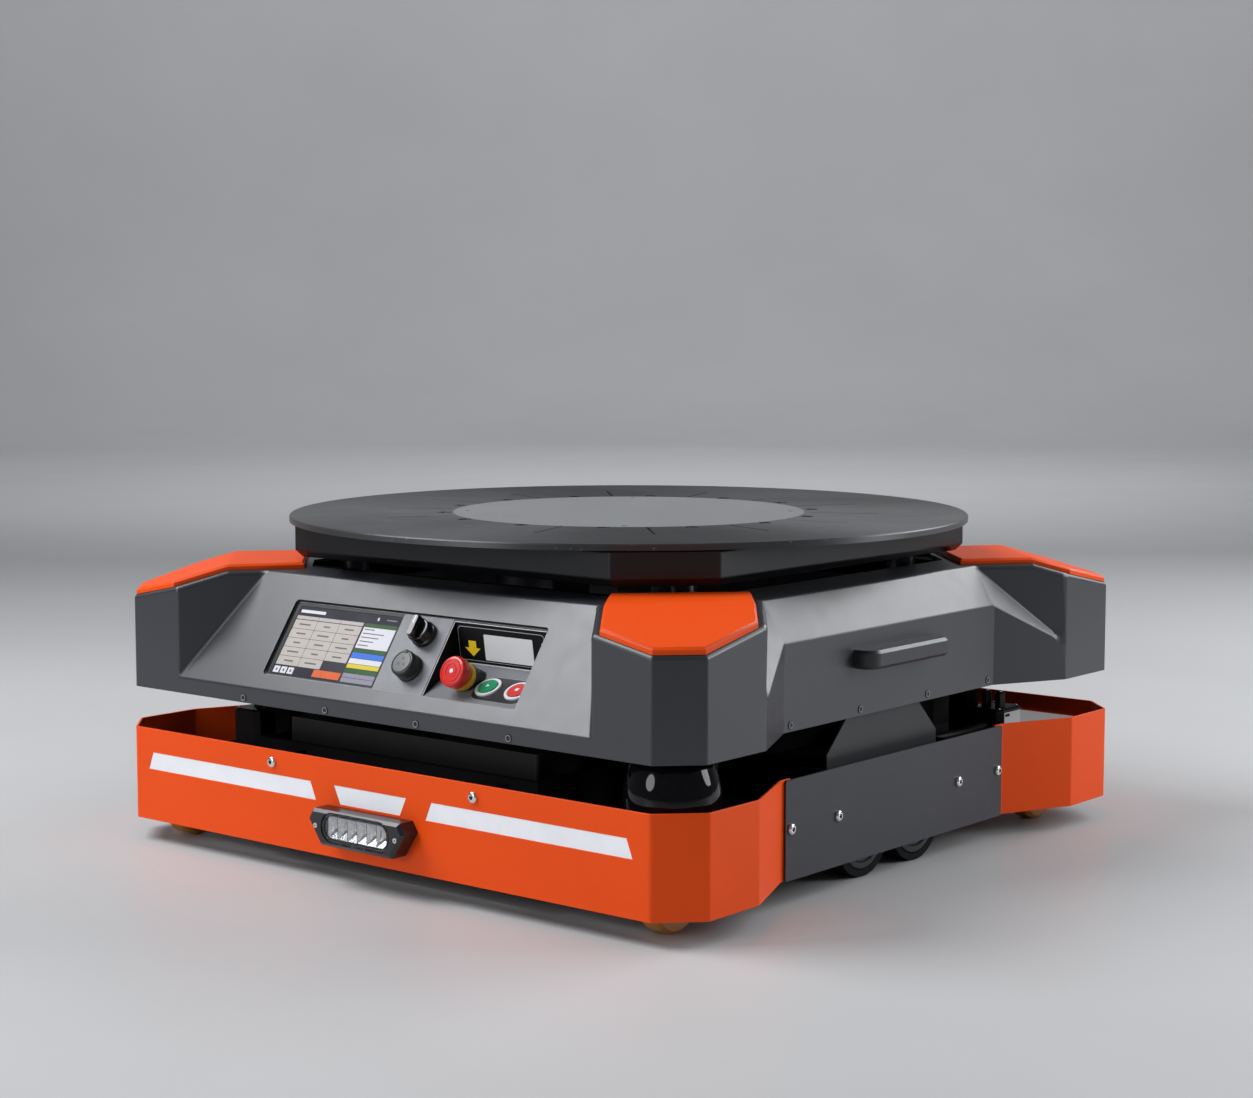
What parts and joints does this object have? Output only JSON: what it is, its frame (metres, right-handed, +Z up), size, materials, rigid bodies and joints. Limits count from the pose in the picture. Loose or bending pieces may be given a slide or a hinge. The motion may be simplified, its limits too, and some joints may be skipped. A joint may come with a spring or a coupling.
{
  "type": "autonomous mobile robot",
  "caption": "Low wheeled transport robot with a faceted upper cover, a round lift and turn table on top, a sloping control panel, corner scanners and light strips.",
  "frame": {"origin": "on the floor, under the centre of the turntable", "axes": "+Z up, -Y towards the control panel at the front, +X to the right seen from above with the front towards the viewer"},
  "size_m": [1, 1.074, 0.442],
  "materials": {
    "orange_coat": "orange powder coat, fine orange peel, satin",
    "frame_paint": "dark grey structural powder coat",
    "bracket_paint": "dark grey paint on bent plate",
    "panel_paint": "dark grey sand-texture powder coat",
    "cover_plastic": "anthracite moulded plastic, fine grain, satin",
    "diffuser": "white opal light diffuser",
    "beacon_black": "black moulded plastic",
    "clear_lens": "clear ribbed lens",
    "zinc": "zinc plated screw heads",
    "scanner_black": "black moulded scanner housing",
    "scanner_window": "glossy black scanner window",
    "box_grey": "dark grey enclosure",
    "hose_black": "black ribbed conduit",
    "battery_case": "dark battery case",
    "cabinet": "grey electronics cabinet",
    "handle_grey": "grey satin die-cast handle",
    "control_dark": "dark grey control plate",
    "bezel_black": "black display frame",
    "display_glass": "display behind dark glass",
    "estop_yellow": "yellow emergency stop collar",
    "estop_red": "red mushroom head",
    "ring_white": "light grey button ring",
    "start_green": "green button cap",
    "stop_red": "red button cap",
    "knob_black": "black knob with a white pointer",
    "port_black": "black screw cap of a service port",
    "column_steel": "painted guide columns",
    "rod_steel": "ground and chromed rods",
    "pan_black": "black textured powder coat",
    "ring_steel": "machined ring steel",
    "gear_steel": "machined gear steel",
    "motor_dark": "anodised gearmotor housing",
    "disc_dark": "dark brushed turntable disc",
    "plate_grey": "lighter brushed centre plate",
    "screw_steel": "bright cap screws",
    "bogie_steel": "cast bogie beam",
    "drive_tyre": "dark polyurethane tread on a cast hub",
    "caster_steel": "zinc plated caster parts",
    "caster_tyre": "amber polyurethane wheel"
  },
  "bodies": {
    "chassis": {"base_frame": "frame_paint", "battery_pack": "battery_case", "button_rings": "ring_white", "cable_conduits": "hose_black", "caster_plates": "caster_steel", "control_cabinet": "cabinet", "control_plate": "control_dark", "corner_caps": "orange_coat", "display_bezel": "bezel_black", "display_glass": "display_glass", "estop_collar": "estop_yellow", "front_bumper": "orange_coat", "junction_boxes": "box_grey", "lift_columns": "column_steel", "light_strips": "diffuser", "outer_screws": "zinc", "rear_bumper": "orange_coat", "scanner_bodies": "scanner_black", "scanner_windows": "scanner_window", "side_brackets": "bracket_paint", "side_handles": "handle_grey", "side_panels": "panel_paint", "upper_cover": "cover_plastic", "upper_frame": "frame_paint", "warning_light_housings": "beacon_black", "warning_light_lenses": "clear_lens"},
    "lift": {"lift_platform": "pan_black", "lift_rods": "rod_steel", "slewing_ring_outer": "ring_steel", "turntable_motor": "motor_dark"},
    "turntable": {"turntable_disc": "disc_dark", "centre_plate": "plate_grey", "slewing_ring_gear": "gear_steel", "disc_screws": "screw_steel"},
    "pinion": {"drive_pinion": "gear_steel"},
    "estop_button": {"estop_button": "estop_red"},
    "start_button": {"start_button": "start_green"},
    "stop_button": {"stop_button": "stop_red"},
    "selector_knob": {"selector_knob": "knob_black"},
    "port_cap": {"port_cap": "port_black"},
    "bogie_right": {"bogie_right": "bogie_steel", "drive_motors_right": "motor_dark"},
    "drive_wheel_front_right": {"drive_wheel_front_right": "drive_tyre"},
    "drive_wheel_rear_right": {"drive_wheel_rear_right": "drive_tyre"},
    "bogie_left": {"bogie_left": "bogie_steel", "drive_motors_left": "motor_dark"},
    "drive_wheel_front_left": {"drive_wheel_front_left": "drive_tyre"},
    "drive_wheel_rear_left": {"drive_wheel_rear_left": "drive_tyre"},
    "caster_fork_fr": {"caster_fork_fr": "caster_steel"},
    "caster_wheel_fr": {"caster_wheel_fr": "caster_tyre"},
    "caster_fork_fl": {"caster_fork_fl": "caster_steel"},
    "caster_wheel_fl": {"caster_wheel_fl": "caster_tyre"},
    "caster_fork_rr": {"caster_fork_rr": "caster_steel"},
    "caster_wheel_rr": {"caster_wheel_rr": "caster_tyre"},
    "caster_fork_rl": {"caster_fork_rl": "caster_steel"},
    "caster_wheel_rl": {"caster_wheel_rl": "caster_tyre"}
  },
  "joints": [
    {"name": "lift_slide", "type": "slide", "parent": "chassis", "child": "lift", "axis": [0, 0, 1], "range_m": [0, 0.06]},
    {"name": "turntable_spin", "type": "hinge", "parent": "lift", "child": "turntable", "pos_m": [0, 0, 0.42], "axis": [0, 0, 1], "continuous": true},
    {"name": "pinion_spin", "type": "hinge", "parent": "lift", "child": "pinion", "pos_m": [-0.198, 0, 0.415], "axis": [0, 0, 1], "continuous": true},
    {"name": "estop_press", "type": "slide", "parent": "chassis", "child": "estop_button", "axis": [0, 0.9135, -0.4067], "range_m": [0, 0.004], "stiffness_N_per_m": 1500},
    {"name": "start_press", "type": "slide", "parent": "chassis", "child": "start_button", "axis": [0, 0.4678, -0.8838], "range_m": [0, 0.0025], "stiffness_N_per_m": 1000},
    {"name": "stop_press", "type": "slide", "parent": "chassis", "child": "stop_button", "axis": [0, 0.4678, -0.8838], "range_m": [0, 0.0025], "stiffness_N_per_m": 1000},
    {"name": "selector_turn", "type": "hinge", "parent": "chassis", "child": "selector_knob", "pos_m": [0.038, -0.44849, 0.31851], "axis": [0, -0.8239, 0.5668], "range_deg": [-45, 45]},
    {"name": "port_cap_turn", "type": "hinge", "parent": "chassis", "child": "port_cap", "pos_m": [0.038, -0.47541, 0.27937], "axis": [0, -0.8239, 0.5668], "range_deg": [0, 90]},
    {"name": "bogie_right_rock", "type": "hinge", "parent": "chassis", "child": "bogie_right", "pos_m": [0.3, 0, 0.072], "axis": [1, 0, 0], "range_deg": [-2, 2]},
    {"name": "drive_wheel_front_right_spin", "type": "hinge", "parent": "bogie_right", "child": "drive_wheel_front_right", "pos_m": [0.42, -0.061, 0.058], "axis": [1, 0, 0], "continuous": true},
    {"name": "drive_wheel_rear_right_spin", "type": "hinge", "parent": "bogie_right", "child": "drive_wheel_rear_right", "pos_m": [0.42, 0.061, 0.058], "axis": [1, 0, 0], "continuous": true},
    {"name": "bogie_left_rock", "type": "hinge", "parent": "chassis", "child": "bogie_left", "pos_m": [-0.3, 0, 0.072], "axis": [1, 0, 0], "range_deg": [-2, 2]},
    {"name": "drive_wheel_front_left_spin", "type": "hinge", "parent": "bogie_left", "child": "drive_wheel_front_left", "pos_m": [-0.42, -0.061, 0.058], "axis": [1, 0, 0], "continuous": true},
    {"name": "drive_wheel_rear_left_spin", "type": "hinge", "parent": "bogie_left", "child": "drive_wheel_rear_left", "pos_m": [-0.42, 0.061, 0.058], "axis": [1, 0, 0], "continuous": true},
    {"name": "caster_fr_swivel", "type": "hinge", "parent": "chassis", "child": "caster_fork_fr", "pos_m": [0.42, -0.415, 0.09], "axis": [0, 0, 1], "continuous": true},
    {"name": "caster_fr_roll", "type": "hinge", "parent": "caster_fork_fr", "child": "caster_wheel_fr", "pos_m": [0.42, -0.438, 0.04], "axis": [1, 0, 0], "continuous": true},
    {"name": "caster_fl_swivel", "type": "hinge", "parent": "chassis", "child": "caster_fork_fl", "pos_m": [-0.42, -0.415, 0.09], "axis": [0, 0, 1], "continuous": true},
    {"name": "caster_fl_roll", "type": "hinge", "parent": "caster_fork_fl", "child": "caster_wheel_fl", "pos_m": [-0.42, -0.438, 0.04], "axis": [1, 0, 0], "continuous": true},
    {"name": "caster_rr_swivel", "type": "hinge", "parent": "chassis", "child": "caster_fork_rr", "pos_m": [0.42, 0.415, 0.09], "axis": [0, 0, 1], "continuous": true},
    {"name": "caster_rr_roll", "type": "hinge", "parent": "caster_fork_rr", "child": "caster_wheel_rr", "pos_m": [0.42, 0.392, 0.04], "axis": [1, 0, 0], "continuous": true},
    {"name": "caster_rl_swivel", "type": "hinge", "parent": "chassis", "child": "caster_fork_rl", "pos_m": [-0.42, 0.415, 0.09], "axis": [0, 0, 1], "continuous": true},
    {"name": "caster_rl_roll", "type": "hinge", "parent": "caster_fork_rl", "child": "caster_wheel_rl", "pos_m": [-0.42, 0.392, 0.04], "axis": [1, 0, 0], "continuous": true}
  ],
  "couplings": [
    {"joint": "pinion_spin", "follows": "turntable_spin", "ratio": 5.7143}
  ]
}
